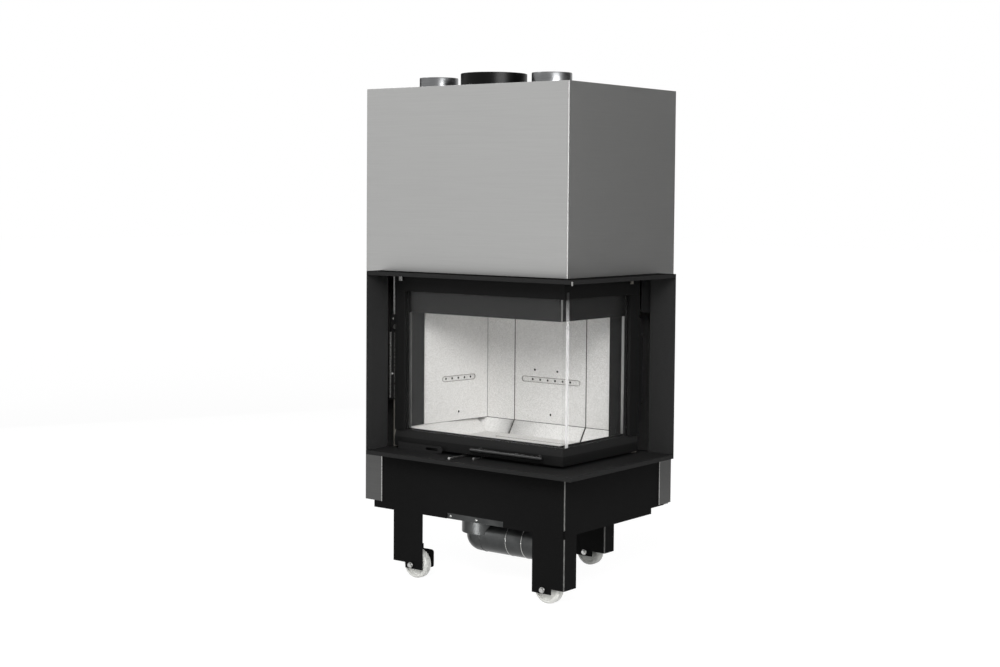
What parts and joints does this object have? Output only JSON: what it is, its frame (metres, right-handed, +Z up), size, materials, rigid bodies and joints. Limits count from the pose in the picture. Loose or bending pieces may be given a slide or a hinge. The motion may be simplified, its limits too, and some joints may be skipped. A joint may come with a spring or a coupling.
{
  "type": "fireplace insert",
  "caption": "Corner fireplace insert: steel casing with a lift-up glass door on the front and right side, pale lined firebox, flue and hot-air collars, and a wheeled black base.",
  "frame": {"origin": "on the floor, in the middle of the outline seen from above", "axes": "+X to the right of the main front, +Y to the back, +Z up"},
  "size_m": [0.8, 0.61, 1.499],
  "materials": {
    "stainless": "brushed",
    "black_steel": "satin",
    "galvanised": "satin",
    "boiler_steel": "matte",
    "bright_steel": "satin",
    "cast_weight": "rough",
    "fire_glass": "gloss",
    "vermiculite": "matte",
    "nylon": "satin",
    "rope_seal": "matte"
  },
  "bodies": {
    "stove_body": {"casing_wrap": "stainless", "casing_left_sheet": "stainless", "casing_rear_sheet": "stainless", "casing_top": "stainless", "flue_collar": "black_steel", "lintel": "black_steel", "shelf": "black_steel", "left_jamb": "black_steel", "right_jamb": "black_steel", "base_apron": "black_steel", "rear_legs": "black_steel", "wheel_brackets": "black_steel", "hot_air_collar_left": "galvanised", "hot_air_collar_right": "galvanised", "air_inlet_flange": "galvanised", "air_inlet_elbow": "galvanised", "base_tray": "galvanised", "pulley_brackets": "galvanised", "firebox_left_plate": "boiler_steel", "firebox_back_plate": "boiler_steel", "firebox_floor_plate": "boiler_steel", "firebox_roof": "boiler_steel", "firebox_right_post": "boiler_steel", "hearth_sill": "boiler_steel", "deflector_band": "boiler_steel", "smoke_dome": "boiler_steel", "base_fasteners": "bright_steel", "door_guides": "bright_steel", "lift_cables": "bright_steel", "weight_cable_left": "bright_steel", "weight_cable_right": "bright_steel", "cable_wraps": "bright_steel", "left_lining": "vermiculite", "back_lining_left": "vermiculite", "back_lining_centre": "vermiculite", "back_lining_right": "vermiculite", "hearth_bricks": "vermiculite", "baffle": "vermiculite"},
    "door": {"door_bottom_rail": "black_steel", "door_top_rail": "black_steel", "door_left_stile": "black_steel", "door_right_stile": "black_steel", "front_glass": "fire_glass", "side_glass": "fire_glass", "door_seals": "rope_seal", "door_handle": "black_steel", "door_carriage_left": "black_steel", "door_carriage_right": "black_steel", "carriage_screws": "bright_steel"},
    "counterweight_left": {"counterweight_left": "cast_weight"},
    "counterweight_right": {"counterweight_right": "cast_weight"},
    "pulley_left": {"pulley_left": "bright_steel"},
    "pulley_right": {"pulley_right": "bright_steel"},
    "wheel_front_left": {"wheel_front_left": "nylon"},
    "wheel_front_right": {"wheel_front_right": "nylon"},
    "wheel_rear_left": {"wheel_rear_left": "nylon"},
    "wheel_rear_right": {"wheel_rear_right": "nylon"},
    "air_slide": {"air_slide": "black_steel"},
    "air_rod_primary": {"air_rod_primary": "bright_steel"},
    "air_rod_secondary": {"air_rod_secondary": "bright_steel"}
  },
  "joints": [
    {"name": "door_lift", "type": "slide", "parent": "stove_body", "child": "door", "axis": [0, 0, 1], "range_m": [0, 0.48], "deforming": ["lift_cables"]},
    {"name": "weight_left_drop", "type": "slide", "parent": "stove_body", "child": "counterweight_left", "axis": [0, 0, 1], "range_m": [-0.48, 0], "deforming": ["weight_cable_left"]},
    {"name": "pulley_left_turn", "type": "hinge", "parent": "stove_body", "child": "pulley_left", "pos_m": [-0.327, -0.16, 1.397], "axis": [1, 0, 0], "range_deg": [-690, 0]},
    {"name": "weight_right_drop", "type": "slide", "parent": "stove_body", "child": "counterweight_right", "axis": [0, 0, 1], "range_m": [-0.48, 0], "deforming": ["weight_cable_right"]},
    {"name": "pulley_right_turn", "type": "hinge", "parent": "stove_body", "child": "pulley_right", "pos_m": [0.295, 0.224, 1.397], "axis": [1, 0, 0], "range_deg": [-690, 0]},
    {"name": "wheel_front_left_roll", "type": "hinge", "parent": "stove_body", "child": "wheel_front_left", "pos_m": [-0.216, -0.2155, 0.043], "axis": [0, 1, 0], "continuous": true},
    {"name": "wheel_front_right_roll", "type": "hinge", "parent": "stove_body", "child": "wheel_front_right", "pos_m": [0.268, -0.2155, 0.043], "axis": [0, 1, 0], "continuous": true},
    {"name": "wheel_rear_left_roll", "type": "hinge", "parent": "stove_body", "child": "wheel_rear_left", "pos_m": [-0.216, 0.258, 0.043], "axis": [0, 1, 0], "continuous": true},
    {"name": "wheel_rear_right_roll", "type": "hinge", "parent": "stove_body", "child": "wheel_rear_right", "pos_m": [0.081, 0.258, 0.043], "axis": [0, 1, 0], "continuous": true},
    {"name": "air_slide_shift", "type": "slide", "parent": "stove_body", "child": "air_slide", "axis": [1, 0, 0], "range_m": [0, 0.06]},
    {"name": "air_rod_primary_push", "type": "slide", "parent": "stove_body", "child": "air_rod_primary", "axis": [0, -1, 0], "range_m": [-0.036, 0]},
    {"name": "air_rod_secondary_pull", "type": "slide", "parent": "stove_body", "child": "air_rod_secondary", "axis": [0, -1, 0], "range_m": [0, 0.036]}
  ],
  "couplings": [
    {"joint": "weight_left_drop", "follows": "door_lift", "ratio": -1},
    {"joint": "pulley_left_turn", "follows": "door_lift", "rad_per_m": -25},
    {"joint": "weight_right_drop", "follows": "door_lift", "ratio": -1},
    {"joint": "pulley_right_turn", "follows": "door_lift", "rad_per_m": -25}
  ]
}
